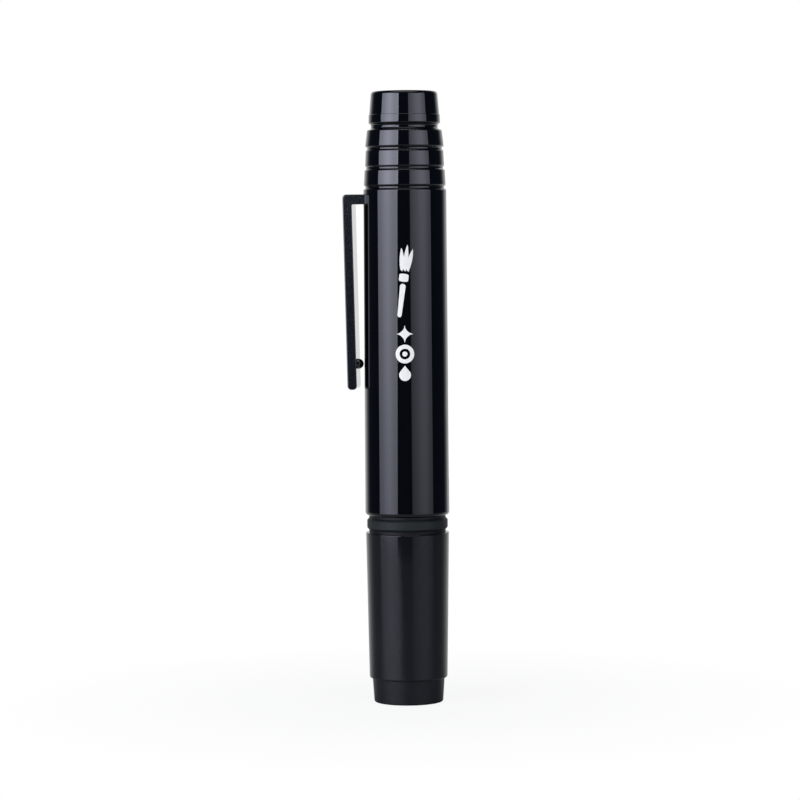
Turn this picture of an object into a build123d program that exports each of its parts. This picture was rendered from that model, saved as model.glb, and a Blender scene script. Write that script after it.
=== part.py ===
from build123d import *
from math import acos, degrees
import os

os.makedirs("parts", exist_ok=True)

# Lens cleaning pen, capped, standing on the flat end of its cap. Millimetres.
# The origin is the centre of that flat end. +Z runs along the pen to the brush mouth,
# the pocket clip is on -X and the thumb slide is turned a little from +X towards +Y.

# Barrel: the radii further on are steps from this one, or walls of it
barrel_low_r = 8.64
barrel_taper = 0.15
barrel_wall = 1.44
barrel_round = 0.8

# Lengths along the pen, from the foot up
foot_len = 5.0
sleeve_len = 30.0
lip_len = 0.48
bead_len = 2.49
body_len = 66.34
nose_len = 4.75

# Grooves and rings of the grip, from the lowest up, as steps in from the barrel's upper end
groove_lens = (1.25, 1.2, 1.2, 1.85)
groove_steps = (0.42, 0.61, 0.83, 1.64)
groove_rounds = (0.2, 0.2, 0.2, 0.5)
ring_lens = (2.72, 2.8, 2.88, 1.56)
ring_steps = (0.12, 0.40, 0.46, 1.17)
ring_tapers = (0.15, 0.14, 0.35, 0.05)
ring_round = 0.35
seam_bevel = 0.06

# Outside of the nose: a step in from the barrel's upper end, then a taper
nose_step = 1.33
nose_taper = 0.40
nose_round = 0.7
mouth_bevel = 0.5

# Inside of the nose
nose_bore_step = 1.3
nose_plug_len = 8.0
nose_plug_wall = 1.0

# Seal ring: steps in from the barrel's lower end
lip_step = 0.81
bead_step = 0.38
bead_bevel_h = 0.5
bead_round = 0.1

# Cap sleeve and the foot of its plug: steps in and tapers towards the foot
sleeve_step = 0.11
sleeve_taper = 0.53
sleeve_low_round = 0.35
sleeve_high_round = 0.25
foot_step = 0.60
foot_taper = 0.34
foot_round = 0.35

# Tip base: spigot, its bore, the web across it and the stem's socket
spigot_step = 0.2
spigot_len = 7.65
base_wall = 1.4
base_web = 2.0
base_web_drop = 2.95
socket_wall = 1.4
socket_len = 4.5

# Inside of the cap
sleeve_bore_step = 0.2
cup_wall = 0.87
cup_floor = 2.2
plug_insert_len = 6.5
sponge_len = 10.7
sponge_dish = 0.5

# Clearances: seated pieces, running fits, soft pieces and the ends of a travel
seat_gap = 0.03
turn_gap = 0.05
slide_gap = 0.08
soft_gap = 0.4
end_gap = 0.2

# Pocket clip: gaps to the barrel are those of the blade's inner face at its two ends
clip_drop = 0.69
clip_arm_h = 2.05
clip_len = 39.87
clip_w = 6.0
clip_t = 1.93
clip_gap_high = 2.08
clip_gap_low = 1.24
clip_corner_round = 0.8
clip_root_round = 0.25
clip_end_round = 0.8
clip_edge_round = 0.2
clip_bump_r = 1.08
clip_bump_rise = 5.25
clip_bump_gap = 0.2
tenon_w = 3.6
tenon_hook = 0.6
mortise_land = 3.0

# Thumb slide
slide_turn = 20.0
slot_w = 6.0
slot_len = 19.7
slot_rise = 7.05
slot_corner = 1.0
button_len = 7.8
button_side_gap = 0.2
button_sink = 0.26
button_round = 0.3
button_rib_count = 5
button_rib_pitch = 1.25
button_rib_w = 0.55
button_rib_depth = 0.35
peg_r = 1.2
peg_len = 3.0

# Brush carriage: steps in from the barrel's bore, and its guide discs
saddle_step = 1.1
saddle_w = 5.0
rod_step = 3.7
rib_t = 1.5
disc_t = 1.6
disc_step = 0.7
disc_gap = 0.95
neck_step = 0.65
stub_len = 6.0

# Brush: steps in from the mouth's bore to the ferrule and to the hair
ferrule_step = 1.05
ferrule_len = 12.0
ferrule_wall = 0.35
crimp_depth = 0.2
crimp_w = 0.5
crimp_rise = 7.0
crimp_pitch = 1.6
tuft_step = 0.6
tuft_len = 16.0
tuft_recess = 2.0
tuft_dome = 2.2
tuft_dome_step = 0.8

# Cleaning tip: the stem is a share of the tip base's bore, the holder a step in from the sleeve's
stem_share = 0.5
holder_step = 1.6
holder_t = 1.5
holder_flare = 2.6
foam_t = 1.6
pad_t = 0.6
pad_skirt = 2.4
pad_round = 0.4

# Radii that several pieces share
barrel_high_r = barrel_low_r - barrel_taper
barrel_bore_r = barrel_low_r - barrel_wall
nose_bore_r = barrel_bore_r - nose_bore_step
mouth_r = nose_bore_r - nose_plug_wall
spigot_r = barrel_bore_r - spigot_step
sleeve_bore_r = spigot_r - sleeve_bore_step

# Levels along the pen
sleeve_z = foot_len
ring_z = sleeve_z + sleeve_len
bead_z = ring_z + lip_len
barrel_z = bead_z + bead_len + lip_len
grip_z = barrel_z + body_len
nose_z = grip_z + sum(groove_lens) + sum(ring_lens)
mouth_z = nose_z + nose_len
clip_top_z = grip_z - clip_drop
arm_z = clip_top_z - clip_arm_h
shoulder_z = arm_z - tenon_hook - mortise_land
slot_z = barrel_z + slot_rise
cover_z = cup_floor + sponge_len + soft_gap


def barrel_radius(z):
    """Outer radius of the smooth part of the barrel at the level z."""
    return barrel_low_r - barrel_taper * (z - barrel_z) / body_len


def shoulder_len(step, round_sum):
    """Length along the pen of a shoulder that steps in or out by step."""
    return (step * (2 * round_sum - step)) ** 0.5


def shoulder(start, step, first_round, second_round, way):
    """Two arcs from start up the pen, stepping in for a way of 1 and out for one of -1."""
    turn = way * degrees(acos(1 - step / (first_round + second_round)))
    first = JernArc(start, (0, 1), first_round, turn)
    second = JernArc(first @ 1, first % 1, second_round, -turn)
    return second @ 1


# Barrel: tapered tube, stepped grip at the nose, slot for the slide, mortise for the clip
slot_plane = Plane.YZ.rotated((0, 0, slide_turn))

with BuildPart() as barrel:
    with BuildSketch(Plane.XZ) as barrel_section:
        with BuildLine():
            edge_r = barrel_high_r
            edge_z = grip_z
            for groove_len, groove_step, groove_round, ring_len, ring_step, ring_taper in zip(
                groove_lens, groove_steps, groove_rounds, ring_lens, ring_steps, ring_tapers
            ):
                groove_r = barrel_high_r - groove_step
                ring_r = barrel_high_r - ring_step
                ring_low_z = edge_z + groove_len
                drop = edge_r - groove_r
                climb = ring_r - groove_r
                climb_z = ring_low_z - shoulder_len(climb, ring_round + groove_round)
                floor = shoulder((edge_r, edge_z), drop, ring_round, groove_round, 1)
                Line(floor, (groove_r, climb_z))
                crest = shoulder((groove_r, climb_z), climb, groove_round, ring_round, -1)
                edge_r = ring_r - ring_taper
                edge_z = ring_low_z + ring_len
                Line(crest, (edge_r, edge_z))
            Polyline(
                (edge_r, edge_z),
                (nose_bore_r, edge_z),
                (nose_bore_r, shoulder_z),
                (barrel_bore_r, shoulder_z - nose_bore_step),
                (barrel_bore_r, barrel_z),
                (barrel_low_r, barrel_z),
                (barrel_high_r, grip_z),
            )
        make_face()
        fillet(barrel_section.vertices().sort_by(Axis.X)[-1], barrel_round)
        seam_corners = barrel_section.vertices().group_by(Axis.Y)[-1].sort_by(Axis.X)
        chamfer(seam_corners[-1], seam_bevel)
    revolve(axis=Axis.Z)
    with BuildSketch(slot_plane):
        with Locations((0, slot_z + slot_len / 2)):
            RectangleRounded(slot_w, slot_len, slot_corner)
    extrude(amount=2 * barrel_low_r, mode=Mode.SUBTRACT)
    with BuildSketch(Plane.YZ):
        with Locations((0, arm_z + clip_arm_h / 2)):
            Rectangle(tenon_w + 2 * seat_gap, clip_arm_h + 2 * seat_gap)
    extrude(amount=-2 * barrel_low_r, mode=Mode.SUBTRACT)

barrel.part.label = "barrel"
export_step(barrel.part, "parts/barrel.step")

# Nose ring: mouth of the brush, its plug inside the barrel's nose
nose_low_r = barrel_high_r - nose_step
nose_high_r = nose_low_r - nose_taper

with BuildPart() as nose_ring:
    with BuildSketch(Plane.XZ) as nose_section:
        with BuildLine():
            Polyline(
                (mouth_r, nose_z - nose_plug_len),
                (nose_bore_r - seat_gap, nose_z - nose_plug_len),
                (nose_bore_r - seat_gap, nose_z),
                (nose_low_r, nose_z),
                (nose_high_r, mouth_z),
                (mouth_r, mouth_z),
                close=True,
            )
        make_face()
        top_corners = nose_section.vertices().group_by(Axis.Y)[-1].sort_by(Axis.X)
        fillet(top_corners[-1], nose_round)
        chamfer(nose_section.vertices().group_by(Axis.Y)[-1].sort_by(Axis.X)[0], mouth_bevel)
    revolve(axis=Axis.Z)

nose_ring.part.label = "nose_ring"
export_step(nose_ring.part, "parts/nose_ring.step")

# Pocket clip: arm and leaning blade in one moulding, with a bump that grips the cloth
# and a hooked tenon through the barrel wall
clip_end_z = clip_top_z - clip_len
bump_z = clip_end_z + clip_bump_rise
bump_reach = barrel_radius(bump_z) + clip_bump_gap + clip_bump_r
blade_in_high = barrel_radius(clip_top_z) + clip_gap_high
blade_in_low = barrel_radius(clip_end_z) + clip_gap_low
hook_seat_x = (nose_bore_r**2 - tenon_w**2 / 4) ** 0.5 - seat_gap
hook_x = hook_seat_x - tenon_hook

with BuildPart() as clip:
    with BuildSketch(Plane.XZ) as clip_section:
        with BuildLine():
            Polyline(
                (0, clip_top_z),
                (-blade_in_high - clip_t, clip_top_z),
                (-blade_in_low - clip_t, clip_end_z),
                (-blade_in_low, clip_end_z),
                (-blade_in_high, arm_z),
                (0, arm_z),
                close=True,
            )
        make_face()
        fillet(clip_section.vertices().sort_by(Axis.X)[0], clip_corner_round)
        fillet(clip_section.vertices().group_by(Axis.Y)[0], clip_end_round)
        root_corner = clip_section.vertices().sort_by_distance((-blade_in_high, arm_z))[0]
        fillet(root_corner, clip_root_round)
    extrude(amount=clip_w / 2, both=True)
    fillet(clip.faces().filter_by(Axis.Y).edges(), clip_edge_round)
    with Locations((-bump_reach, 0, bump_z)):
        Sphere(clip_bump_r)
    with BuildSketch(Plane.XZ):
        with BuildLine():
            Polyline(
                (0, arm_z - clip_arm_h),
                (barrel_radius(arm_z - clip_arm_h) + seat_gap, arm_z - clip_arm_h),
                (barrel_radius(grip_z) + seat_gap, grip_z),
                (0, grip_z),
                close=True,
            )
        make_face()
    revolve(axis=Axis.Z, mode=Mode.SUBTRACT)
    with BuildSketch(Plane.XZ):
        with BuildLine():
            Polyline(
                (-hook_x, clip_top_z),
                (-blade_in_high, clip_top_z),
                (-blade_in_high, arm_z),
                (-hook_seat_x, arm_z),
                (-hook_seat_x, arm_z - tenon_hook),
                (-hook_x, arm_z),
                close=True,
            )
        make_face()
    extrude(amount=tenon_w / 2, both=True)

clip.part.label = "clip"
export_step(clip.part, "parts/clip.step")

# Thumb button: low ribbed pad in the slot, with a peg into the carriage
button_z = slot_z + end_gap
button_mid_z = button_z + button_len / 2
button_half_w = slot_w / 2 - button_side_gap
button_r = barrel_low_r - button_sink
saddle_top = barrel_bore_r - saddle_step
button_edge_x = (button_r**2 - button_half_w**2) ** 0.5
slide_axis = Axis((0, 0, 0), slot_plane.z_dir)

with BuildPart() as thumb_button:
    with BuildSketch(Plane.XY.offset(button_z).rotated((0, 0, slide_turn))):
        with BuildLine():
            Polyline(
                (button_edge_x, -button_half_w),
                (saddle_top, -button_half_w),
                (saddle_top, button_half_w),
                (button_edge_x, button_half_w),
            )
            ThreePointArc(
                (button_edge_x, button_half_w), (button_r, 0), (button_edge_x, -button_half_w)
            )
        make_face()
    extrude(amount=button_len)
    fillet(thumb_button.edges().filter_by(slide_axis), slot_corner - button_side_gap)
    fillet(thumb_button.faces().sort_by(slide_axis)[-1].edges(), button_round)
    with BuildSketch(Plane.XZ.rotated((0, 0, slide_turn))):
        with Locations((button_r, button_mid_z)):
            with GridLocations(0, button_rib_pitch, 1, button_rib_count):
                Rectangle(2 * button_rib_depth, button_rib_w)
    extrude(amount=slot_w, both=True, mode=Mode.SUBTRACT)
    with BuildSketch(slot_plane.offset(saddle_top)):
        with Locations((0, button_mid_z)):
            Circle(peg_r)
    extrude(amount=-peg_len)

thumb_button.part.label = "thumb_button"
export_step(thumb_button.part, "parts/thumb_button.step")

# Brush carriage: cross-shaped rod between guide discs, a saddle under the slot that takes
# the button's peg, and a round neck and stub that carry the ferrule
travel = slot_len - button_len - 2 * end_gap
low_disc_z = button_z - disc_step - disc_t
mid_disc_z = button_z + button_len + disc_step
high_disc_z = shoulder_z - nose_bore_step - travel - disc_step - disc_t
tuft_high_z = mouth_z - tuft_recess
ferrule_high_z = tuft_high_z - tuft_len
ferrule_z = ferrule_high_z - ferrule_len
ferrule_r = mouth_r - ferrule_step
stub_r = ferrule_r - ferrule_wall - seat_gap
rib_w = 2 * (barrel_bore_r - rod_step)

with BuildPart() as brush_carriage:
    with BuildSketch(Plane.XY.offset(low_disc_z).rotated((0, 0, slide_turn))):
        Rectangle(rib_w, rib_t)
        Rectangle(rib_t, rib_w)
    extrude(amount=high_disc_z - low_disc_z)
    for disc_z in (low_disc_z, mid_disc_z, high_disc_z):
        with BuildSketch(Plane.XY.offset(disc_z)):
            Circle(barrel_bore_r - slide_gap)
        extrude(amount=disc_t)
    with BuildSketch(Plane.XY.offset(button_z).rotated((0, 0, slide_turn))):
        with Locations((saddle_top / 2, 0)):
            Rectangle(saddle_top, saddle_w)
    extrude(amount=button_len)
    with BuildSketch(Plane.XY.offset(high_disc_z)):
        Circle(ferrule_r - neck_step)
    extrude(amount=ferrule_z - high_disc_z)
    with BuildSketch(Plane.XY.offset(ferrule_z - disc_t)):
        Circle(ferrule_r)
    extrude(amount=disc_t)
    with BuildSketch(Plane.XY.offset(ferrule_z)):
        Circle(stub_r)
    extrude(amount=stub_len)
    with BuildSketch(slot_plane.offset(saddle_top)):
        with Locations((0, button_mid_z)):
            Circle(peg_r + seat_gap)
    extrude(amount=-peg_len - seat_gap, mode=Mode.SUBTRACT)

brush_carriage.part.label = "brush_carriage"
export_step(brush_carriage.part, "parts/brush_carriage.step")

# Brush ferrule: thin metal sleeve, crimped in two rings round the root of the hair
with BuildPart() as brush_ferrule:
    with BuildSketch(Plane.XY.offset(ferrule_z)):
        Circle(ferrule_r)
        Circle(ferrule_r - ferrule_wall, mode=Mode.SUBTRACT)
    extrude(amount=ferrule_len)
    with BuildSketch(Plane.XZ):
        with Locations((ferrule_r, ferrule_z + crimp_rise)):
            with GridLocations(0, crimp_pitch, 1, 2):
                Rectangle(2 * crimp_depth, crimp_w)
    revolve(axis=Axis.Z, mode=Mode.SUBTRACT)

brush_ferrule.part.label = "brush_ferrule"
export_step(brush_ferrule.part, "parts/brush_ferrule.step")

# Brush tuft: hair as one soft body, widest above the ferrule and domed at its end
tuft_z = ferrule_z + stub_len + seat_gap
tuft_dome_z = tuft_high_z - tuft_dome
tuft_belly_r = mouth_r - tuft_step
tuft_dome_r = tuft_belly_r - tuft_dome_step

with BuildPart() as brush_tuft:
    with BuildSketch(Plane.XZ):
        with BuildLine():
            Polyline(
                (0, tuft_high_z),
                (0, tuft_z),
                (stub_r, tuft_z),
                (stub_r, ferrule_high_z),
            )
            ThreePointArc(
                (stub_r, ferrule_high_z),
                (tuft_belly_r, (ferrule_high_z + tuft_dome_z) / 2),
                (tuft_dome_r, tuft_dome_z),
            )
            TangentArc((0, tuft_high_z), (tuft_dome_r, tuft_dome_z), tangent=(1, 0))
        make_face()
    revolve(axis=Axis.Z)

brush_tuft.part.label = "brush_tuft"
export_step(brush_tuft.part, "parts/brush_tuft.step")

# Tip base: plug in the barrel's lower end, spigot for the cap, web with the stem's socket
spigot_z = ring_z - spigot_len
base_high_z = low_disc_z - disc_gap
base_inner_r = spigot_r - base_wall
web_high_z = barrel_z - base_web_drop
web_z = web_high_z - base_web
stem_r = stem_share * base_inner_r
socket_r = stem_r + seat_gap

with BuildPart() as tip_base:
    with BuildSketch(Plane.XZ):
        with BuildLine():
            Polyline(
                (spigot_r, spigot_z),
                (spigot_r, barrel_z),
                (barrel_bore_r - seat_gap, barrel_z),
                (barrel_bore_r - seat_gap, base_high_z),
                (base_inner_r, base_high_z),
                (base_inner_r, web_high_z),
                (socket_r, web_high_z),
                (socket_r, web_z - socket_len),
                (socket_r + socket_wall, web_z - socket_len),
                (socket_r + socket_wall, web_z),
                (base_inner_r, web_z),
                (base_inner_r, spigot_z),
                close=True,
            )
        make_face()
    revolve(axis=Axis.Z)

tip_base.part.label = "tip_base"
export_step(tip_base.part, "parts/tip_base.step")

# Seal ring: soft ring on the spigot, a bead between two narrower lips
lip_r = barrel_low_r - lip_step
bead_r = barrel_low_r - bead_step

with BuildPart() as seal_ring:
    with BuildSketch(Plane.XZ) as ring_section:
        with BuildLine():
            Polyline(
                (spigot_r + turn_gap, ring_z),
                (lip_r, ring_z),
                (lip_r, bead_z),
                (bead_r, bead_z + bead_bevel_h),
                (bead_r, bead_z + bead_len - bead_bevel_h),
                (lip_r, bead_z + bead_len),
                (lip_r, barrel_z),
                (spigot_r + turn_gap, barrel_z),
                close=True,
            )
        make_face()
        bead_corners = ring_section.vertices().group_by(Axis.X)[-1]
        fillet(bead_corners, bead_round)
    revolve(axis=Axis.Z)

seal_ring.part.label = "seal_ring"
export_step(seal_ring.part, "parts/seal_ring.step")

# Cleaning tip: stem with a flared round holder, a foam disc, and a soft cover drawn round both
foam_z = cover_z + pad_t
holder_z = foam_z + foam_t
holder_r = sleeve_bore_r - holder_step
cover_inner_r = holder_r + turn_gap
cover_r = cover_inner_r + pad_t

with BuildPart() as tip_stem:
    with BuildSketch(Plane.XZ):
        with BuildLine():
            Polyline(
                (0, holder_z),
                (holder_r, holder_z),
                (holder_r, holder_z + holder_t),
                (stem_r, holder_z + holder_t + holder_flare),
                (stem_r, web_high_z),
                (0, web_high_z),
                close=True,
            )
        make_face()
    revolve(axis=Axis.Z)

tip_stem.part.label = "tip_stem"
export_step(tip_stem.part, "parts/tip_stem.step")

with BuildPart() as tip_foam:
    with BuildSketch(Plane.XY.offset(foam_z)):
        Circle(holder_r)
    extrude(amount=foam_t)

tip_foam.part.label = "tip_foam"
export_step(tip_foam.part, "parts/tip_foam.step")

with BuildPart() as tip_pad:
    with BuildSketch(Plane.XZ) as pad_section:
        with BuildLine():
            Polyline(
                (0, cover_z),
                (cover_r, cover_z),
                (cover_r, foam_z + pad_skirt),
                (cover_inner_r, foam_z + pad_skirt),
                (cover_inner_r, foam_z),
                (0, foam_z),
                close=True,
            )
        make_face()
        face_corners = pad_section.vertices().group_by(Axis.Y)[0].sort_by(Axis.X)
        fillet(face_corners[-1], pad_round)
    revolve(axis=Axis.Z)

tip_pad.part.label = "tip_pad"
export_step(tip_pad.part, "parts/tip_pad.step")

# Cap sleeve: tapered tube, its mouth bored to slide on the spigot
sleeve_high_r = barrel_low_r - sleeve_step
sleeve_low_r = sleeve_high_r - sleeve_taper

with BuildPart() as cap_sleeve:
    with BuildSketch(Plane.XZ) as sleeve_section:
        with BuildLine():
            Polyline(
                (sleeve_bore_r, sleeve_z),
                (sleeve_low_r, sleeve_z),
                (sleeve_high_r, ring_z),
                (spigot_r + slide_gap, ring_z),
                (spigot_r + slide_gap, spigot_z - soft_gap),
                (sleeve_bore_r, spigot_z - soft_gap),
                close=True,
            )
        make_face()
        low_corners = sleeve_section.vertices().group_by(Axis.Y)[0].sort_by(Axis.X)
        fillet(low_corners[-1], sleeve_low_round)
        high_corners = sleeve_section.vertices().group_by(Axis.Y)[-1].sort_by(Axis.X)
        fillet(high_corners[-1], sleeve_high_round)
    revolve(axis=Axis.Z)

cap_sleeve.part.label = "cap_sleeve"
export_step(cap_sleeve.part, "parts/cap_sleeve.step")

# Cap plug: the foot below the sleeve, its insert hollowed into a cup for the sponge
foot_high_r = sleeve_low_r - foot_step
foot_low_r = foot_high_r - foot_taper
insert_r = sleeve_bore_r - seat_gap
cup_r = insert_r - cup_wall

with BuildPart() as cap_plug:
    with BuildSketch(Plane.XZ) as plug_section:
        with BuildLine():
            Polyline(
                (0, 0),
                (foot_low_r, 0),
                (foot_high_r, foot_len),
                (insert_r, foot_len),
                (insert_r, foot_len + plug_insert_len),
                (cup_r, foot_len + plug_insert_len),
                (cup_r, cup_floor),
                (0, cup_floor),
                close=True,
            )
        make_face()
        foot_corners = plug_section.vertices().group_by(Axis.Y)[0].sort_by(Axis.X)
        fillet(foot_corners[-1], foot_round)
    revolve(axis=Axis.Z)

cap_plug.part.label = "cap_plug"
export_step(cap_plug.part, "parts/cap_plug.step")

# Carbon sponge: foam that fills the cup, dished towards the cleaning tip
sponge_r = cup_r - turn_gap
sponge_high_z = cup_floor + sponge_len

with BuildPart() as carbon_sponge:
    with BuildSketch(Plane.XZ):
        with BuildLine():
            Polyline(
                (0, sponge_high_z - sponge_dish),
                (0, cup_floor),
                (sponge_r, cup_floor),
                (sponge_r, sponge_high_z),
            )
            RadiusArc(
                (sponge_r, sponge_high_z),
                (0, sponge_high_z - sponge_dish),
                (sponge_r**2 + sponge_dish**2) / (2 * sponge_dish),
            )
        make_face()
    revolve(axis=Axis.Z)

carbon_sponge.part.label = "carbon_sponge"
export_step(carbon_sponge.part, "parts/carbon_sponge.step")
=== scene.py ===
import math
import random

import bmesh
import bpy
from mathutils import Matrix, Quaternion, Vector, noise


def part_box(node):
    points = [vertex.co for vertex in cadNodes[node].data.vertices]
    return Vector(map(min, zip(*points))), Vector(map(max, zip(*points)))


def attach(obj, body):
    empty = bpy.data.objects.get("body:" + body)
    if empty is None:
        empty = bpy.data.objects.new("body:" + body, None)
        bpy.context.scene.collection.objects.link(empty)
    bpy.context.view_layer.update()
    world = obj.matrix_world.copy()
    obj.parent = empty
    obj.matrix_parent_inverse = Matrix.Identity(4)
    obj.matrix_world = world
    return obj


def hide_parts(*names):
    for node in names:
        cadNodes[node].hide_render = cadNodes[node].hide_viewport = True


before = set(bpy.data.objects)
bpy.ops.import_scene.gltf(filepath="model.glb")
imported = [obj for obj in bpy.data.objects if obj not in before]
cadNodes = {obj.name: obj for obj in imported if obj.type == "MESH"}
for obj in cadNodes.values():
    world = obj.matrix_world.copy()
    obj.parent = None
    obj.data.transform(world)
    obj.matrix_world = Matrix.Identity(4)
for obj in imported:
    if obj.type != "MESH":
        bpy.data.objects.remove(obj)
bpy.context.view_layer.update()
mm = 0.001
print("frame loaded:", len(cadNodes), "nodes")


# Small helpers for node trees and meshes

def newFinish(name):
    finish = bpy.data.materials.new(name)
    finish.use_nodes = True
    return finish, finish.node_tree, finish.node_tree.nodes["Principled BSDF"]


def addNode(tree, kind, inputs=None, **settings):
    node = tree.nodes.new(kind)
    for key, value in settings.items():
        setattr(node, key, value)
    for key, value in (inputs or {}).items():
        node.inputs[key].default_value = value
    return node


def addGrain(tree, scale, detail=2.0, stretch=(1.0, 1.0, 1.0)):
    # noise fixed to the object, its scale in cells per metre
    place = addNode(tree, "ShaderNodeTexCoord")
    mapping = addNode(tree, "ShaderNodeMapping", {"Scale": stretch})
    grain = addNode(tree, "ShaderNodeTexNoise", {"Scale": scale, "Detail": detail})
    tree.links.new(place.outputs["Object"], mapping.inputs["Vector"])
    tree.links.new(mapping.outputs["Vector"], grain.inputs["Vector"])
    return grain.outputs[0]


def addAxes(tree):
    place = addNode(tree, "ShaderNodeTexCoord")
    axes = addNode(tree, "ShaderNodeSeparateXYZ")
    tree.links.new(place.outputs["Object"], axes.inputs[0])
    return axes


def addSpread(tree, source, low, high, fromLow=0.3, fromHigh=0.7):
    spread = addNode(tree, "ShaderNodeMapRange", {
        "From Min": fromLow, "From Max": fromHigh, "To Min": low, "To Max": high})
    tree.links.new(source, spread.inputs["Value"])
    return spread.outputs[0]


def addTones(tree, source, dark, light):
    tones = addNode(tree, "ShaderNodeMix", {6: (*dark, 1.0), 7: (*light, 1.0)}, data_type="RGBA")
    tree.links.new(source, tones.inputs[0])
    return tones.outputs[2]


def addRough(tree, source, look):
    return addSpread(tree, source, look["rough"] - look["roughSpread"], look["rough"] + look["roughSpread"])


def addBump(tree, source, depth, before=None):
    # depth is the height in metres between the noise's low and high places
    bump = addNode(tree, "ShaderNodeBump", {"Strength": 1.0, "Distance": depth})
    tree.links.new(source, bump.inputs["Height"])
    if before is not None:
        tree.links.new(before, bump.inputs["Normal"])
    return bump.outputs["Normal"]


def mouldedPlastic(name, look):
    finish, tree, shader = newFinish(name)
    broad = addGrain(tree, look["patchScale"])
    fine = addGrain(tree, look["grainScale"], detail=3.0)
    tones = addTones(tree, addSpread(tree, broad, 0.0, 1.0), look["dark"], look["light"])
    tree.links.new(tones, shader.inputs["Base Color"])
    rough = addRough(tree, fine, look)
    if "worn" in look:
        # handling has polished the end above these heights
        height = addAxes(tree).outputs["Z"]
        polish = addSpread(tree, height, 0.0, 1.0, *look["wornFrom"])
        worn = addNode(tree, "ShaderNodeMix", {3: look["worn"]}, data_type="FLOAT")
        tree.links.new(polish, worn.inputs[0])
        tree.links.new(rough, worn.inputs[2])
        rough = worn.outputs[0]
    if "neckPaintedShade" in look:
        # painted shade: the narrow recessed necks between the lips get a darker colour than the grained
        # face, where shade falls in them, and their own roughness
        place = addNode(tree, "ShaderNodeTexCoord")
        flat = addNode(tree, "ShaderNodeVectorMath", {1: (1.0, 1.0, 0.0)}, operation="MULTIPLY")
        reach = addNode(tree, "ShaderNodeVectorMath", operation="LENGTH")
        tree.links.new(place.outputs["Object"], flat.inputs[0])
        tree.links.new(flat.outputs[0], reach.inputs[0])
        face = addSpread(tree, reach.outputs["Value"], 0.0, 1.0, *look["neckFrom"])
        shade = addNode(tree, "ShaderNodeMix", {6: (*look["neckPaintedShade"], 1.0)}, data_type="RGBA")
        tree.links.new(face, shade.inputs[0])
        tree.links.new(tones, shade.inputs[7])
        tree.links.new(shade.outputs[2], shader.inputs["Base Color"])
        smooth = addNode(tree, "ShaderNodeMix", {2: look["neckRough"]}, data_type="FLOAT")
        tree.links.new(face, smooth.inputs[0])
        tree.links.new(rough, smooth.inputs[3])
        rough = smooth.outputs[0]
    tree.links.new(rough, shader.inputs["Roughness"])
    normal = addBump(tree, fine, look["grainDepth"])
    if "waveDepth" in look:
        waves = addGrain(tree, look["waveScale"], detail=0.0, stretch=look["waveStretch"])
        normal = addBump(tree, waves, look["waveDepth"], before=normal)
    tree.links.new(normal, shader.inputs["Normal"])
    shader.inputs["IOR"].default_value = look["ior"]
    if "coat" in look:
        shader.inputs["Coat Weight"].default_value = look["coat"]
        shader.inputs["Coat Roughness"].default_value = look["coatRough"]
    return finish


def dress(nodeName, finish):
    for place in cadNodes[nodeName].material_slots:
        place.material = finish


def newPiece(name, mesh, finish, body):
    piece = bpy.data.objects.new(name, mesh)
    bpy.context.scene.collection.objects.link(piece)
    mesh.materials.append(finish)
    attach(piece, body)
    return piece


# Camera

cameraLook = {
    "azimuth": 7.5,       # degrees, towards the thumb slide
    "elevation": 3.0,
    "distance": 0.645,    # metres to the aim
    "aimHeight": 0.06202,
    "aimShift": -0.00133,  # metres, to the picture's right
    "roll": -0.47,
    "scale": 4.8824,      # picture points per millimetre on the pen's axis
}

azimuth = math.radians(cameraLook["azimuth"])
elevation = math.radians(cameraLook["elevation"])
rightWay = Vector((math.cos(azimuth), math.sin(azimuth), 0))
backWay = Vector((math.sin(azimuth) * math.cos(elevation),
                  -math.cos(azimuth) * math.cos(elevation), math.sin(elevation)))
aim = Vector((0, 0, cameraLook["aimHeight"])) + cameraLook["aimShift"] * rightWay

lensData = bpy.data.cameras.new("penCamera")
lensData.sensor_width = 36
lensData.lens = 36 / 800 * cameraLook["scale"] * cameraLook["distance"] / mm
lensData.clip_start = 0.01
lensData.clip_end = 20
camera = bpy.data.objects.new("penCamera", lensData)
camera.location = aim + cameraLook["distance"] * backWay
camera.rotation_mode = "QUATERNION"
turn = (-backWay).to_track_quat("-Z", "Y")
camera.rotation_quaternion = turn @ Quaternion((0, 0, 1), math.radians(cameraLook["roll"]))
bpy.context.scene.collection.objects.link(camera)
bpy.context.scene.camera = camera
bpy.context.scene.view_settings.view_transform = "Standard"
print("camera set")


# Studio: two upright softboxes, one overhead, a white backdrop behind the pen, a pale floor

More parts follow.
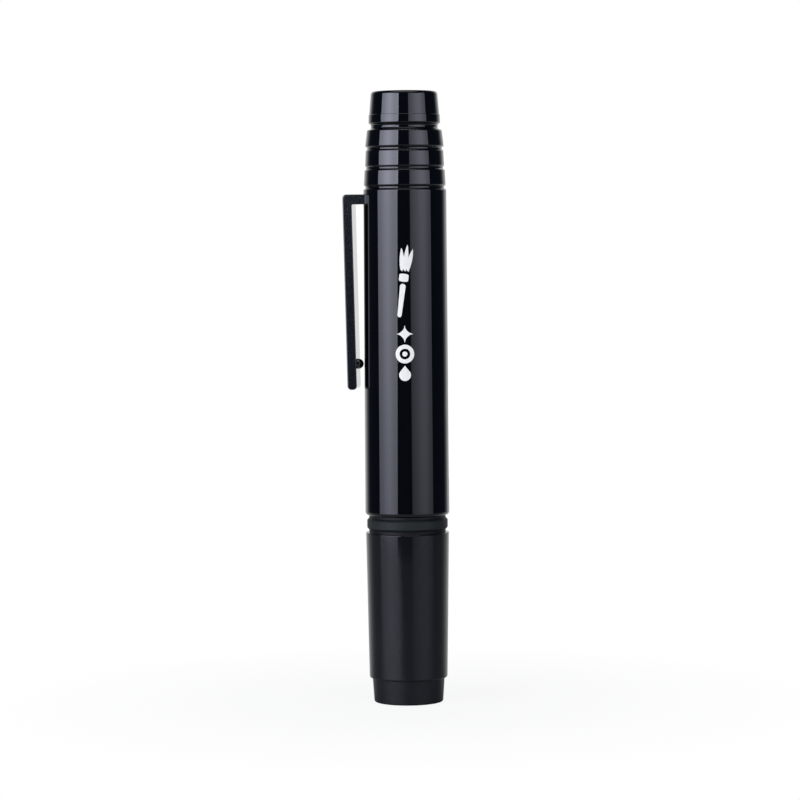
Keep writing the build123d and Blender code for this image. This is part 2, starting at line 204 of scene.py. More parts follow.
studioLook = {
    "panelDistance": 1.0,
    "rampShare": 0.5,
    # brightness up a softbox: height in metres and share
    "upShares": ((-0.24, 0.20), (-0.13, 0.42), (-0.045, 0.60), (0.0, 0.72), (0.10, 1.0),
                 (0.13, 1.12), (0.17, 1.48), (0.33, 1.45), (0.56, 1.25)),
    # brightness across a softbox: degrees from the camera's azimuth and share
    "leftShares": ((-81, 0.52), (-70, 0.64), (-60, 0.86), (-49, 1.0), (-40, 0.88), (-31, 0.76),
                   (-27, 0.77), (-22, 0.76), (-20, 1.0), (-17, 1.05)),
    # where a softbox ends on the camera's side: height and degrees
    "leftEnds": ((-0.24, -28.8), (-0.05, -26.8), (0.165, -19.2), (0.56, -19.2)),
    "leftPower": 4.6,
    "leftTint": (0.94, 0.98, 1.18),
    "rightShares": ((13.5, 0.42), (20, 0.58), (30, 0.74), (40, 0.94), (48, 1.0), (55, 0.96),
                    (61, 0.80), (68, 0.62), (75, 0.54)),
    "rightEnds": ((-0.24, 13.5), (0.56, 13.5)),
    "rightPower": 1.8,
    "rightTint": (0.96, 0.99, 1.19),
    "overheadSize": 0.9,
    "overheadHeight": 1.0,
    "overheadReach": 0.35,  # metres towards the camera
    "overheadPower": 1.2,
    "overheadTint": (0.97, 0.99, 1.04),
    "room": (0.030, 0.045, 0.070),
    "backdropFull": 34.0,  # degrees from straight behind the pen
    "backdropEnd": 60.0,
    "floorAcross": 0.36,  # half width, then reach towards the camera and away from it
    "floorFront": 0.22,
    "floorBack": 0.44,
    "floorLevel": -0.02 * mm,
    "floorSides": 120,
    "floorSeen": (0.8, 0.8, 0.8),  # as the camera sees it, under the plain white
    "floorTone": 0.56,             # as the pen's reflections see it
    "floorRough": 0.34,
    "floorIor": 1.3,
    "floorGlow": 0.90,    # share of plain white near the pen, rising to all of it
    "floorPlain": (0.02, 0.09),
    # painted light: the paper straight behind the pen glows with this share of plain white, standing in for
    # backdrop light
    "floorBehindPaintedGlow": 0.85,  # share of plain white that reflections meet straight behind the pen
    "floorBehindFull": 32.0,
    "floorBehindEnd": 70.0,
}


def addShares(tree, source, stops):
    # a colour ramp over the stops' own range, halved so that no share passes 1
    first, last = stops[0][0], stops[-1][0]
    spread = addNode(tree, "ShaderNodeMapRange", {"From Min": first, "From Max": last})
    tree.links.new(source, spread.inputs["Value"])
    ramp = addNode(tree, "ShaderNodeValToRGB")
    points = ramp.color_ramp.elements
    points[0].position, points[1].position = 0.0, 1.0
    for place, _ in stops[1:-1]:
        points.new((place - first) / (last - first))
    for point, (_, share) in zip(points, stops):
        tone = share * studioLook["rampShare"]
        point.color = (tone, tone, tone, 1.0)
    tree.links.new(spread.outputs[0], ramp.inputs[0])
    return ramp.outputs["Color"]


def addSoftbox(name, acrossShares, ends, power, tint):
    # an upright flat panel that faces the pen, its light shaped across and up
    fromAngle, toAngle = acrossShares[0][0], acrossShares[-1][0]
    middleAngle = (fromAngle + toAngle) / 2
    middle = math.radians(cameraLook["azimuth"] + middleAngle)
    distance = studioLook["panelDistance"]

    def alongPanel(angle):
        return distance * math.tan(math.radians(angle - middleAngle))

    across = [(alongPanel(angle), share) for angle, share in acrossShares]
    outerEdge = across[0][0] if ends[0][1] < 0 else across[-1][0]
    points, faces = [], []
    for height, angle in ends:
        points += [(outerEdge, 0, height), (alongPanel(angle), 0, height)]
    for step in range(len(ends) - 1):
        faces.append((2 * step, 2 * step + 1, 2 * step + 3, 2 * step + 2))
    mesh = bpy.data.meshes.new(name)
    mesh.from_pydata(points, [], faces)
    finish = bpy.data.materials.new(name)
    finish.use_nodes = True
    tree = finish.node_tree
    tree.nodes.clear()
    axes = addAxes(tree)
    both = addNode(tree, "ShaderNodeVectorMath", operation="MULTIPLY")
    tree.links.new(addShares(tree, axes.outputs["X"], across), both.inputs[0])
    tree.links.new(addShares(tree, axes.outputs["Z"], studioLook["upShares"]), both.inputs[1])
    tinted = addNode(tree, "ShaderNodeVectorMath", operation="MULTIPLY")
    tinted.inputs[1].default_value = tint
    tree.links.new(both.outputs[0], tinted.inputs[0])
    glow = addNode(tree, "ShaderNodeEmission", {"Strength": power / studioLook["rampShare"] ** 2})
    tree.links.new(tinted.outputs[0], glow.inputs["Color"])
    output = addNode(tree, "ShaderNodeOutputMaterial")
    tree.links.new(glow.outputs[0], output.inputs["Surface"])
    panel = bpy.data.objects.new(name, mesh)
    mesh.materials.append(finish)
    panel.location = (math.sin(middle) * distance, -math.cos(middle) * distance, 0)
    panel.rotation_euler = (0, 0, middle)
    panel.visible_camera = False
    bpy.context.scene.collection.objects.link(panel)


addSoftbox("softboxLeft", studioLook["leftShares"], studioLook["leftEnds"],
           studioLook["leftPower"], studioLook["leftTint"])
addSoftbox("softboxRight", studioLook["rightShares"], studioLook["rightEnds"],
           studioLook["rightPower"], studioLook["rightTint"])


def addOverhead():
    # a level panel above the camera's side of the pen
    half = studioLook["overheadSize"] / 2
    mesh = bpy.data.meshes.new("softboxTop")
    corners = [(-half, -half, 0), (-half, half, 0), (half, half, 0), (half, -half, 0)]
    mesh.from_pydata(corners, [], [(0, 1, 2, 3)])
    finish = bpy.data.materials.new("softboxTop")
    finish.use_nodes = True
    tree = finish.node_tree
    tree.nodes.clear()
    glow = addNode(tree, "ShaderNodeEmission", {
        "Color": (*studioLook["overheadTint"], 1.0), "Strength": studioLook["overheadPower"]})
    output = addNode(tree, "ShaderNodeOutputMaterial")
    tree.links.new(glow.outputs[0], output.inputs["Surface"])
    mesh.materials.append(finish)
    panel = bpy.data.objects.new("softboxTop", mesh)
    reach = studioLook["overheadReach"]
    panel.location = (math.sin(azimuth) * reach, -math.cos(azimuth) * reach, studioLook["overheadHeight"])
    panel.rotation_euler = (0, 0, azimuth)
    panel.visible_camera = False
    bpy.context.scene.collection.objects.link(panel)


addOverhead()


def addWorld():
    world = bpy.data.worlds.new("studio")
    world.use_nodes = True
    bpy.context.scene.world = world
    tree = world.node_tree
    tree.nodes.clear()
    place = addNode(tree, "ShaderNodeTexCoord")
    behind = addNode(tree, "ShaderNodeVectorMath", operation="DOT_PRODUCT")
    behind.inputs[1].default_value = (-math.sin(azimuth), math.cos(azimuth), 0)
    tree.links.new(place.outputs["Generated"], behind.inputs[0])
    edge = addNode(tree, "ShaderNodeMapRange", {
        "From Min": math.cos(math.radians(studioLook["backdropEnd"])),
        "From Max": math.cos(math.radians(studioLook["backdropFull"]))})
    tree.links.new(behind.outputs["Value"], edge.inputs["Value"])
    soft = addNode(tree, "ShaderNodeMath", {1: 2.0}, operation="POWER")
    tree.links.new(edge.outputs[0], soft.inputs[0])
    colours = addTones(tree, soft.outputs[0], studioLook["room"], (1, 1, 1))
    path = addNode(tree, "ShaderNodeLightPath")
    seen = addNode(tree, "ShaderNodeMath", operation="MAXIMUM")
    tree.links.new(path.outputs["Is Camera Ray"], seen.inputs[0])
    tree.links.new(path.outputs["Is Transmission Ray"], seen.inputs[1])
    shown = addNode(tree, "ShaderNodeMix", {7: (1, 1, 1, 1)}, data_type="RGBA")
    tree.links.new(seen.outputs[0], shown.inputs[0])
    tree.links.new(colours, shown.inputs[6])
    light = addNode(tree, "ShaderNodeBackground", {"Strength": 1.0})
    tree.links.new(shown.outputs[2], light.inputs["Color"])
    output = addNode(tree, "ShaderNodeOutputWorld")
    tree.links.new(light.outputs[0], output.inputs["Surface"])


def addFloor():
    middle = (studioLook["floorBack"] - studioLook["floorFront"]) / 2
    half = (studioLook["floorBack"] + studioLook["floorFront"]) / 2
    rim = []
    for step in range(studioLook["floorSides"]):
        angle = step * math.tau / studioLook["floorSides"]
        rim.append((studioLook["floorAcross"] * math.cos(angle), middle + half * math.sin(angle), 0))
    mesh = bpy.data.meshes.new("floor")
    mesh.from_pydata(rim, [], [tuple(range(len(rim)))])
    finish = bpy.data.materials.new("floorPaper")
    finish.use_nodes = True
    tree = finish.node_tree
    tree.nodes.clear()
    tone = studioLook["floorTone"]
    paper = addNode(tree, "ShaderNodeBsdfPrincipled", {
        "Base Color": (tone, tone, tone, 1.0), "Roughness": studioLook["floorRough"],
        "IOR": studioLook["floorIor"]})
    plain = addNode(tree, "ShaderNodeBsdfDiffuse", {"Color": (*studioLook["floorSeen"], 1.0)})
    glow = addNode(tree, "ShaderNodeEmission", {"Strength": 1.0})
    away = addNode(tree, "ShaderNodeVectorMath", operation="LENGTH")
    place = addNode(tree, "ShaderNodeTexCoord")
    tree.links.new(place.outputs["Object"], away.inputs[0])
    fade = addSpread(tree, away.outputs["Value"], studioLook["floorGlow"], 1.0, *studioLook["floorPlain"])
    seenPaper = addNode(tree, "ShaderNodeMixShader")
    tree.links.new(fade, seenPaper.inputs[0])
    tree.links.new(plain.outputs[0], seenPaper.inputs[1])
    tree.links.new(glow.outputs[0], seenPaper.inputs[2])
    # painted light: the paper behind the pen glows white for every ray but the camera's, standing in for
    # the light the backdrop would give it
    heading = addNode(tree, "ShaderNodeVectorMath", operation="NORMALIZE")
    tree.links.new(place.outputs["Object"], heading.inputs[0])
    headingAxes = addNode(tree, "ShaderNodeSeparateXYZ")
    tree.links.new(heading.outputs[0], headingAxes.inputs[0])
    behind = addSpread(tree, headingAxes.outputs["Y"], 0.0, studioLook["floorBehindPaintedGlow"],
                       math.cos(math.radians(studioLook["floorBehindEnd"])),
                       math.cos(math.radians(studioLook["floorBehindFull"])))
    paperAndPaintedGlow = addNode(tree, "ShaderNodeMixShader")
    tree.links.new(behind, paperAndPaintedGlow.inputs[0])
    tree.links.new(paper.outputs[0], paperAndPaintedGlow.inputs[1])
    tree.links.new(glow.outputs[0], paperAndPaintedGlow.inputs[2])
    path = addNode(tree, "ShaderNodeLightPath")
    choice = addNode(tree, "ShaderNodeMixShader")
    tree.links.new(path.outputs["Is Camera Ray"], choice.inputs[0])
    tree.links.new(paperAndPaintedGlow.outputs[0], choice.inputs[1])
    tree.links.new(seenPaper.outputs[0], choice.inputs[2])
    output = addNode(tree, "ShaderNodeOutputMaterial")
    tree.links.new(choice.outputs[0], output.inputs["Surface"])
    mesh.materials.append(finish)
    floor = bpy.data.objects.new("floor", mesh)
    floor.location = (0, 0, studioLook["floorLevel"])
    floor.rotation_euler = (0, 0, azimuth)
    bpy.context.scene.collection.objects.link(floor)


addWorld()
addFloor()
print("studio set")


# Finishes of the hard pieces

glossLook = {
    "dark": (0.0007, 0.0009, 0.0014), "light": (0.0011, 0.0013, 0.0020),
    "patchScale": 140, "grainScale": 5200, "grainDepth": 0.00000012,
    "rough": 0.045, "roughSpread": 0.015, "ior": 1.50,
    "waveScale": 95, "waveStretch": (1.0, 1.0, 0.25), "waveDepth": 0.000006,
}
clipLook = {
    "dark": (0.0020, 0.0026, 0.0030), "light": (0.0026, 0.0033, 0.0038),
    "patchScale": 300, "grainScale": 7000, "grainDepth": 0.0000001,
    "rough": 0.15, "roughSpread": 0.02, "ior": 1.50,
    "coat": 1.0, "coatRough": 0.05,
}
buttonLook = {
    "dark": (0.0080, 0.0085, 0.0095), "light": (0.0120, 0.0125, 0.0135),
    "patchScale": 300, "grainScale": 7000, "grainDepth": 0.000004,
    "rough": 0.45, "roughSpread": 0.06, "ior": 1.50,
}
ringLook = {
    "dark": (0.0078, 0.0112, 0.0103), "light": (0.0122, 0.0165, 0.0154),
    "patchScale": 500, "grainScale": 9000, "grainDepth": 0.000006,
    "rough": 0.60, "roughSpread": 0.07, "ior": 1.36,
    # painted shade: the necks, narrower than neckFrom, take the darker neck colour where shade falls in
    # them
    "neckPaintedShade": (0.0010, 0.0012, 0.0015), "neckRough": 0.55, "neckFrom": (7.90 * mm, 8.10 * mm),
}
capLook = {
    "dark": (0.0042, 0.0046, 0.0058), "light": (0.0052, 0.0057, 0.0070),
    "patchScale": 260, "grainScale": 6000, "grainDepth": 0.0000003,
    "rough": 0.25, "roughSpread": 0.03, "ior": 1.37,
    "worn": 0.09, "wornFrom": (14 * mm, 31 * mm),
}
plugLook = {
    "dark": (0.0028, 0.0036, 0.0050), "light": (0.0040, 0.0050, 0.0066),
    "patchScale": 320, "grainScale": 7000, "grainDepth": 0.000002,
    "rough": 0.46, "roughSpread": 0.05, "ior": 1.35,
}
innerLook = {
    "dark": (0.0240, 0.0250, 0.0270), "light": (0.0330, 0.0340, 0.0360),
    "patchScale": 260, "grainScale": 6000, "grainDepth": 0.000003,
    "rough": 0.38, "roughSpread": 0.06, "ior": 1.48,
}

barrelGloss = mouldedPlastic("barrelGloss", glossLook)
dress("barrel", barrelGloss)
dress("nose_ring", barrelGloss)
dress("clip", mouldedPlastic("clipMatte", clipLook))
dress("thumb_button", mouldedPlastic("buttonMatte", buttonLook))
dress("seal_ring", mouldedPlastic("ringRubber", ringLook))
dress("cap_sleeve", mouldedPlastic("capSatin", capLook))
dress("cap_plug", mouldedPlastic("plugMatte", plugLook))
innerPlastic = mouldedPlastic("innerPlastic", innerLook)
for nodeName in ("brush_carriage", "tip_base", "tip_stem"):
    dress(nodeName, innerPlastic)
print("hard pieces dressed")


# Ferrule: drawn metal, brushed round its axis

ferruleLook = {
    "dark": (0.46, 0.46, 0.45), "light": (0.62, 0.62, 0.61),
    "brushScale": 900, "brushStretch": (0.15, 0.15, 14.0), "brushDepth": 0.0000012,
    "smearScale": 260, "rough": 0.26, "roughSpread": 0.07,
}


def drawnMetal(name, look):
    finish, tree, shader = newFinish(name)
    brushed = addGrain(tree, look["brushScale"], detail=4.0, stretch=look["brushStretch"])
    smears = addGrain(tree, look["smearScale"])
    tones = addTones(tree, addSpread(tree, brushed, 0.0, 1.0), look["dark"], look["light"])
    tree.links.new(tones, shader.inputs["Base Color"])
    tree.links.new(addRough(tree, smears, look), shader.inputs["Roughness"])
    tree.links.new(addBump(tree, brushed, look["brushDepth"]), shader.inputs["Normal"])
    shader.inputs["Metallic"].default_value = 1.0
    return finish


dress("brush_ferrule", drawnMetal("ferruleMetal", ferruleLook))
print("ferrule dressed")


# Hair of the brush: tapered strands, gathered in the ferrule and trimmed to a dome

hairLook = {
    "count": 2300,
    "boreStep": 0.38 * mm,    # the ferrule's wall and the gap inside it
    "rootShare": 0.95,        # of the ferrule's bore
    "rootDepth": 3.0 * mm,
    "domeRise": 2.2 * mm,
    "domeShare": 0.81,        # radius where the dome starts, as a share of the belly
    "swellShare": 0.985,
    "outerShare": 0.995,      # no strand's middle passes this share of the belly
    "strandRadius": 0.075 * mm,
    "rings": 7,
    "curl": 0.16 * mm,
    "tipScatter": 0.7 * mm,
    "thinning": 0.75,         # share of the radius lost towards the tip
    "angleScatter": 0.2, "endScatter": (0.94, 1.05), "twist": 0.06,
    "dark": (0.44, 0.36, 0.26), "light": (0.74, 0.68, 0.58),
    "streakScale": 2600, "streakStretch": (1.0, 1.0, 0.06),
    "rough": 0.46, "roughSpread": 0.08, "sheen": 0.25, "sheenRough": 0.45,
    "seed": 7,
}


def hairFinish(look):
    finish, tree, shader = newFinish("brushHair")
    streaks = addGrain(tree, look["streakScale"], detail=2.0, stretch=look["streakStretch"])
    tones = addTones(tree, addSpread(tree, streaks, 0.0, 1.0), look["dark"], look["light"])
    tree.links.new(tones, shader.inputs["Base Color"])
    tree.links.new(addRough(tree, streaks, look), shader.inputs["Roughness"])
    shader.inputs["Sheen Weight"].default_value = look["sheen"]
    shader.inputs["Sheen Roughness"].default_value = look["sheenRough"]
    return finish


def hairMesh(look):
    chance = random.Random(look["seed"])
    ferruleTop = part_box("brush_ferrule")[1]
    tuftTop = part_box("brush_tuft")[1]
    bore = ferruleTop.x - look["boreStep"]
    belly = tuftTop.x
    rootZ = ferruleTop.z - look["rootDepth"]
    domeZ = tuftTop.z - look["domeRise"]
    low, high = bore * look["rootShare"], belly * look["domeShare"]

    def reachAt(z):
        # outer radius of the bundle at the level z
        if z <= ferruleTop.z:
            return low
        up = (z - ferruleTop.z) / (domeZ - ferruleTop.z)
        swell = max(4 * up * (1 - up), 0.0)
        return low + (high - low) * min(up, 1.0) + (belly * look["swellShare"] - (low + high) / 2) * swell

    points, faces = [], []
    for index in range(look["count"]):
        share = math.sqrt((index + 0.5) / look["count"])
        scatter = chance.uniform(-look["angleScatter"], look["angleScatter"])
        angle = index * math.pi * (3 - math.sqrt(5)) + scatter
        endShare = min(1.0, share * chance.uniform(*look["endScatter"]))
        tipZ = tuftTop.z - look["domeRise"] * endShare ** 2 - look["tipScatter"] * chance.random() ** 2
        curlAngle = chance.uniform(0, math.tau)
        curl = look["curl"] * chance.random()
        twist = chance.uniform(-look["twist"], look["twist"])
        start = len(points)
        for ring in range(look["rings"]):
            along = ring / (look["rings"] - 1)
            z = rootZ + (tipZ - rootZ) * along
            reach = reachAt(min(z, domeZ)) * (share + (endShare - share) * along)
            bend = curl * math.sin(along * math.pi * 1.5) * along
            turned = angle + twist * along
            centre = Vector((reach * math.cos(turned) + bend * math.cos(curlAngle),
                             reach * math.sin(turned) + bend * math.sin(curlAngle), z))
            outside = math.hypot(centre.x, centre.y) / (belly * look["outerShare"])
            if outside > 1:
                centre.x /= outside
                centre.y /= outside
            if ring == look["rings"] - 1:
                points.append(tuple(centre))
                break
            thick = look["strandRadius"] * (1 - look["thinning"] * along ** 2)
            for corner in range(3):
                side = corner * math.tau / 3 + angle
                points.append((centre.x + thick * math.cos(side), centre.y + thick * math.sin(side), z))
        for ring in range(look["rings"] - 2):
            for corner in range(3):
                a = start + ring * 3 + corner
                b = start + ring * 3 + (corner + 1) % 3
                faces.append((a, b, b + 3, a + 3))
        tip = start + (look["rings"] - 1) * 3
        for corner in range(3):
            faces.append((tip - 3 + corner, tip - 3 + (corner + 1) % 3, tip))
        faces.append((start + 2, start + 1, start))
    mesh = bpy.data.meshes.new("brushHair")
    mesh.from_pydata(points, [], faces)
    mesh.shade_smooth()
    return mesh


hair = newPiece("brushHair", hairMesh(hairLook), hairFinish(hairLook), "brush")
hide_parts("brush_tuft")
print("hair made:", len(hair.data.polygons), "faces")


# Soft pieces: each a turned form whose surface is worked point by point

def turnedMesh(name, outline, segments, work):
    # outline runs from the axis round to the axis, and work moves a point, given its angle
    points, faces = [], []
    for radius, z in outline[1:-1]:
        for step in range(segments):
            angle = step * math.tau / segments
            point = Vector((radius * math.cos(angle), radius * math.sin(angle), z))
            points.append(tuple(work(point, angle)))
    rings = len(outline) - 2
    for end in (outline[0], outline[-1]):
        points.append(tuple(work(Vector((0, 0, end[1])), 0.0)))
    firstIndex, lastIndex = len(points) - 2, len(points) - 1
    for step in range(segments):
        after = (step + 1) % segments
        faces.append((firstIndex, after, step))
        faces.append((lastIndex, (rings - 1) * segments + step, (rings - 1) * segments + after))
        for ring in range(rings - 1):
            low, high = ring * segments, (ring + 1) * segments
            faces.append((low + step, low + after, high + after, high + step))
    mesh = bpy.data.meshes.new(name)
    mesh.from_pydata(points, [], faces)
    mesh.shade_smooth()
    return mesh


def turnedRun(start, end, count, bow=0.0):
    # points from start to end, bowed to the run's right by bow
    across = Vector((end[1] - start[1], start[0] - end[0])).normalized()
    run = []
    for step in range(count):
        along = step / count
        push = bow * 4 * along * (1 - along)
        run.append((start[0] + (end[0] - start[0]) * along + across.x * push,
                    start[1] + (end[1] - start[1]) * along + across.y * push))
    return run


def softFinish(name, look):
    finish, tree, shader = newFinish(name)
    patches = addGrain(tree, look["patchScale"])
    pores = addGrain(tree, look["poreScale"], detail=3.0)
    tones = addTones(tree, addSpread(tree, patches, 0.0, 1.0), look["dark"], look["light"])
    # painted shade: the pits, the low places of the pore noise that also drives the bump, are darkened in
    # colour
    shade = addNode(tree, "ShaderNodeMix", {7: (*look["paintedPoreShade"], 1.0)}, data_type="RGBA")
    tree.links.new(addSpread(tree, pores, 1.0, 0.0, look["poreLow"], look["poreHigh"]), shade.inputs[0])
    tree.links.new(tones, shade.inputs[6])
    tree.links.new(shade.outputs[2], shader.inputs["Base Color"])
    rough = addSpread(tree, pores, look["rough"] + look["roughSpread"], look["rough"] - look["roughSpread"])
    tree.links.new(rough, shader.inputs["Roughness"])
    tree.links.new(addBump(tree, pores, look["poreDepth"]), shader.inputs["Normal"])
    shader.inputs["Specular IOR Level"].default_value = look["specular"]
    shader.inputs["Sheen Weight"].default_value = look["sheen"]
    shader.inputs["Sheen Roughness"].default_value = look["sheenRough"]
    return finish


foamLook = {
    "dark": (0.085, 0.085, 0.088), "light": (0.120, 0.120, 0.124), "paintedPoreShade": (0.030, 0.030, 0.032),
    "patchScale": 900, "poreScale": 5200, "poreLow": 0.36, "poreHigh": 0.46, "poreDepth": 0.00004,
    "rough": 0.88, "roughSpread": 0.05, "specular": 0.25, "sheen": 0.15, "sheenRough": 0.5,
    "sideBow": 0.09 * mm, "ripple": 0.035 * mm, "rippleScale": 1400,
    "axisShare": 0.06,  # radius of the ring nearest the axis
}
padLook = {
    "dark": (0.034, 0.034, 0.036), "light": (0.056, 0.056, 0.059), "paintedPoreShade": (0.020, 0.020, 0.022),
    "patchScale": 700, "poreScale": 7600, "poreLow": 0.34, "poreHigh": 0.48, "poreDepth": 0.000016,
    "rough": 0.80, "roughSpread": 0.05, "specular": 0.30, "sheen": 0.45, "sheenRough": 0.5,
    "wall": 0.60 * mm, "faceLap": 0.01 * mm, "edgeRound": 0.55 * mm, "faceCrown": 0.14 * mm,
    "lipDrop": 0.12 * mm, "lipIn": 0.16 * mm,
    "puckers": 26, "puckerDepth": 0.055 * mm,
}
spongeLook = {
    "dark": (0.022, 0.022, 0.023), "light": (0.045, 0.045, 0.047), "paintedPoreShade": (0.006, 0.006, 0.006),
    "patchScale": 600, "poreScale": 3200, "poreLow": 0.38, "poreHigh": 0.50, "poreDepth": 0.00010,
    "rough": 0.90, "roughSpread": 0.05, "specular": 0.20, "sheen": 0.10, "sheenRough": 0.5,
    "edgeGap": 0.02 * mm, "dish": 0.5 * mm, "edgeRound": 0.35 * mm,
    "pitScale": 1500, "pitDepth": 0.10 * mm, "pitFrom": 3 * mm, "pitFade": 2 * mm,
}


def foamMesh(look):
    low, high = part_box("tip_foam")
    radius = high.x - look["sideBow"] - look["ripple"]
    middle = (low.z + high.z) / 2
    inner = radius * look["axisShare"]
    outline = [(0, low.z)] + turnedRun((inner, low.z), (radius, low.z), 14)
    outline += turnedRun((radius, low.z), (radius, high.z), 12, look["sideBow"])
    outline += turnedRun((radius, high.z), (inner, high.z), 14) + [(0, high.z)]

    def work(point, angle):
        beside = 1 - min(1.0, abs(point.z - middle) / (high.z - middle))
        ripple = look["ripple"] * beside * noise.noise(point * look["rippleScale"])
        return Vector((point.x + ripple * math.cos(angle), point.y + ripple * math.sin(angle), point.z))

    return turnedMesh("tipFoam", outline, 72, work)


def padMesh(look):
    low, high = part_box("tip_pad")
    radius = high.x - look["puckerDepth"]
    inner = radius - look["wall"]
    faceZ = low.z + look["wall"] - look["faceLap"]
    lipDrop, lipIn = look["lipDrop"], look["lipIn"]
    turnRadius = look["edgeRound"]
    outline = [(0, low.z)]
    for step in range(1, 16):
        share = step / 15
        outline.append(((radius - turnRadius) * share, low.z + look["faceCrown"] * share ** 3))
    for step in range(1, 8):
        angle = step / 8 * math.pi / 2
        outline.append((radius - turnRadius + turnRadius * math.sin(angle),
                        low.z + look["faceCrown"] + turnRadius * (1 - math.cos(angle))))
    outline += turnedRun((radius, low.z + look["faceCrown"] + turnRadius), (radius, high.z - lipDrop), 10)
    outline += [(radius - lipIn / 4, high.z - lipDrop / 4), (radius - lipIn, high.z),
                (inner + lipIn, high.z), (inner + lipIn / 4, high.z - lipDrop / 4)]
    outline += turnedRun((inner, high.z - lipDrop), (inner, faceZ), 8)
    outline += turnedRun((inner, faceZ), (inner * 0.08, faceZ), 8) + [(0, faceZ)]

    def work(point, angle):
        # the drawn leather puckers towards its open edge, more in some places than in others
        reach = math.hypot(point.x, point.y)
        up = max(0.0, (point.z - low.z) / (high.z - low.z) - 0.25) / 0.75
        if reach < inner - 0.1 * mm:
            up = 0.0
        wave = math.sin(look["puckers"] * angle + 1.7 * math.sin(3 * angle))
        push = look["puckerDepth"] * up * wave * (0.7 + 0.3 * math.cos(5 * angle))
        return Vector((point.x + push * math.cos(angle), point.y + push * math.sin(angle), point.z))

    return turnedMesh("tipPad", outline, 208, work)


def spongeMesh(look):
    low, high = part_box("carbon_sponge")
    radius = high.x - look["edgeGap"]
    faceZ = high.z - look["edgeGap"]
    turnRadius = look["edgeRound"]
    outline = [(0, low.z)] + turnedRun((radius * 0.1, low.z), (radius, low.z), 6)
    outline += turnedRun((radius, low.z), (radius, high.z - turnRadius), 16)
    for step in range(6):
        angle = step / 6 * math.pi / 2
        outline.append((radius - turnRadius * (1 - math.cos(angle)),
                        faceZ - turnRadius * (1 - math.sin(angle))))
    edge = radius - turnRadius
    for step in range(26):
        share = 1 - step / 26
        outline.append((edge * share, faceZ - look["dish"] * (1 - share ** 2)))
    outline.append((0, high.z - look["dish"]))

    def work(point, angle):
        # open pores over the face
        depth = look["pitDepth"] * max(0.0, noise.noise(point * look["pitScale"]) + 0.1)
        face = min(1.0, max(0.0, (point.z - (high.z - look["pitFrom"])) / look["pitFade"]))
        return Vector((point.x, point.y, point.z - depth * face))

    return turnedMesh("carbonSponge", outline, 120, work)


foam = newPiece("tipFoam", foamMesh(foamLook), softFinish("foamOpen", foamLook), "pen")
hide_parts("tip_foam")
pad = newPiece("tipPad", padMesh(padLook), softFinish("padLeather", padLook), "pen")
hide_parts("tip_pad")
sponge = newPiece("carbonSponge", spongeMesh(spongeLook), softFinish("spongeCarbon", spongeLook),
                  "cap")
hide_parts("carbon_sponge")
print("soft pieces made")


# Print on the barrel: plain signs for a brush, a clean surface, a lens and a drop

printLook = {
    "azimuth": 5.2,           # degrees, middle of the print
    "skin": 0.02 * mm,        # how far the ink stands on the barrel
    "taper": 0.15 / 66.34,    # the barrel's, in radius per height
    "stripWidth": 0.4,        # millimetres between cuts, so that it follows the curve
    "stripCount": 8,          # to each side of the middle
    "brushLow": (-1.0, 79.2), "brushLean": 7.0, "brushLength": 14.7,
    # from and to as shares of the brush's length, half widths there, rounding of the ends
    "handle": (0.0, 0.46, 0.42, 0.58, 0.5), "band": (0.49, 0.60, 0.95, 0.95, 0.25),
    "leafLow": 0.63, "leafDrop": 0.05, "leafHalf": 0.46, "leafLean": 0.55, "leafGap": 0.62,
    "ringAt": (0.08, 71.75), "ringOuter": 1.90, "ringInner": 1.08, "dotRadius": 0.52,
    "dropAt": (0.08, 67.50), "dropRadius": 1.20, "dropTip": 1.9,
    "dropArc": 140,           # degrees of the round part to each side of its lowest point
    "starAt": (0.08, 75.80), "starReach": 1.75, "starPinch": 0.62,
    "tone": (0.94, 0.92, 0.80), "toneLow": (0.89, 0.87, 0.76), "rough": 0.34, "roughSpread": 0.05,
    "wearScale": 1600, "inkDepth": 0.000002,
}


def circlePoints(middle, radius, count=40):
    return [(middle[0] + radius * math.cos(step * math.tau / count),
             middle[1] + radius * math.sin(step * math.tau / count)) for step in range(count)]


def addFan(drawing, points):
    across = sum(x for x, _ in points) / len(points)
    along = sum(y for _, y in points) / len(points)
    middle = drawing.verts.new((across, along, 0))
    rim = [drawing.verts.new((x, y, 0)) for x, y in points]
    for index, corner in enumerate(rim):
        drawing.faces.new((middle, corner, rim[(index + 1) % len(rim)]))


def addBand(drawing, outer, inner):
    far = [drawing.verts.new((x, y, 0)) for x, y in outer]
    near = [drawing.verts.new((x, y, 0)) for x, y in inner]
    for index in range(len(far)):
        after = (index + 1) % len(far)
        drawing.faces.new((far[index], far[after], near[after], near[index]))


def barPoints(low, high, halfLow, halfHigh, bulge):
    # an upright rounded bar between two heights, on its own axis
    points = []
    for step in range(13):
        angle = math.pi + step / 12 * math.pi
        points.append((halfLow * math.cos(angle), low + min(halfLow, bulge) * (1 + math.sin(angle))))
    for step in range(13):
        angle = step / 12 * math.pi
        points.append((halfHigh * math.cos(angle), high - min(halfHigh, bulge) * (1 - math.sin(angle))))
    return points


def leafPoints(low, high, half, lean):
    # a pointed tuft of hair that leans outwards as it rises
    points = []
    for side in (1, -1):
        for step in range(14):
            along = step / 14 if side > 0 else 1 - step / 14
            width = half * math.sin(math.pi * (0.10 + 0.90 * along)) ** 0.8
            points.append((side * width + lean * along ** 1.5, low + (high - low) * along))
    return points


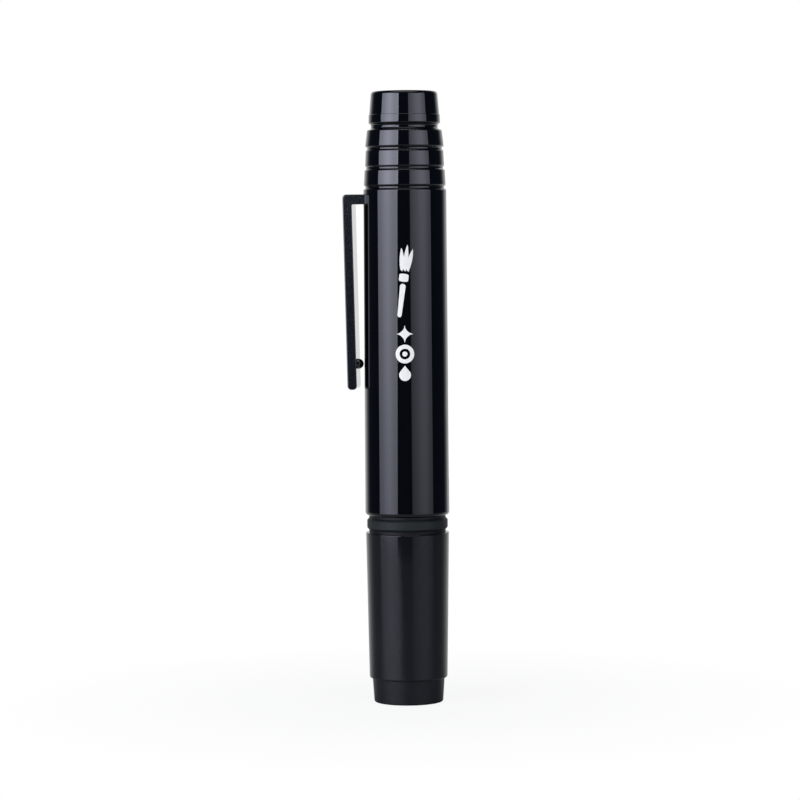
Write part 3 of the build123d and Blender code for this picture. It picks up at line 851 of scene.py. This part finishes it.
def printMesh(look):
    drawing = bmesh.new()
    ringAt = look["ringAt"]
    addBand(drawing, circlePoints(ringAt, look["ringOuter"]), circlePoints(ringAt, look["ringInner"]))
    addFan(drawing, circlePoints(ringAt, look["dotRadius"], 24))
    dropX, dropY = look["dropAt"]
    dropRadius = look["dropRadius"]
    drop = []
    for step in range(-20, 21):
        angle = math.radians(-90 + look["dropArc"] * step / 20)
        drop.append((dropX + dropRadius * math.cos(angle), dropY + dropRadius * math.sin(angle)))
    addFan(drawing, drop + [(dropX, dropY + look["dropTip"])])
    starX, starY = look["starAt"]
    star = []
    pinch = look["starPinch"]
    for step in range(72):
        angle = step * math.tau / 72
        spread = abs(math.sin(angle)) ** pinch + abs(math.cos(angle)) ** pinch
        reach = look["starReach"] / spread ** (1 / pinch)
        star.append((starX + reach * math.sin(angle), starY + reach * math.cos(angle)))
    addFan(drawing, star)
    length = look["brushLength"]
    brush = []
    for fromShare, toShare, halfLow, halfHigh, bulge in (look["handle"], look["band"]):
        brush.append((0.0, barPoints(length * fromShare, length * toShare, halfLow, halfHigh, bulge)))
    for side in (-1, 0, 1):
        leaf = leafPoints(length * look["leafLow"], length * (1 - look["leafDrop"] * abs(side)),
                          look["leafHalf"], side * look["leafLean"])
        brush.append((side * look["leafGap"], leaf))
    lean = math.radians(look["brushLean"])
    lowX, lowY = look["brushLow"]
    for shift, points in brush:
        addFan(drawing, [(lowX + (x + shift) * math.cos(lean) + y * math.sin(lean),
                          lowY - (x + shift) * math.sin(lean) + y * math.cos(lean)) for x, y in points])
    for cut in range(-look["stripCount"], look["stripCount"] + 1):
        geometry = drawing.verts[:] + drawing.edges[:] + drawing.faces[:]
        place = (cut * look["stripWidth"], 0, 0)
        bmesh.ops.bisect_plane(drawing, geom=geometry, plane_co=place, plane_no=(1, 0, 0))
    low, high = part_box("barrel")
    for corner in drawing.verts:
        z = corner.co.y * mm
        radius = high.x - look["taper"] * (z - low.z) + look["skin"]
        angle = math.radians(look["azimuth"]) + corner.co.x * mm / radius
        corner.co = (radius * math.sin(angle), -radius * math.cos(angle), z)
    bmesh.ops.recalc_face_normals(drawing, faces=drawing.faces[:])
    mesh = bpy.data.meshes.new("barrelPrint")
    drawing.to_mesh(mesh)
    drawing.free()
    return mesh


def inkFinish(look):
    finish, tree, shader = newFinish("whiteInk")
    wear = addGrain(tree, look["wearScale"], detail=3.0)
    tones = addTones(tree, addSpread(tree, wear, 0.0, 1.0), look["toneLow"], look["tone"])
    tree.links.new(tones, shader.inputs["Base Color"])
    tree.links.new(addRough(tree, wear, look), shader.inputs["Roughness"])
    tree.links.new(addBump(tree, wear, look["inkDepth"]), shader.inputs["Normal"])
    return finish


newPiece("barrelPrint", printMesh(printLook), inkFinish(printLook), "pen")
print("print laid on the barrel")
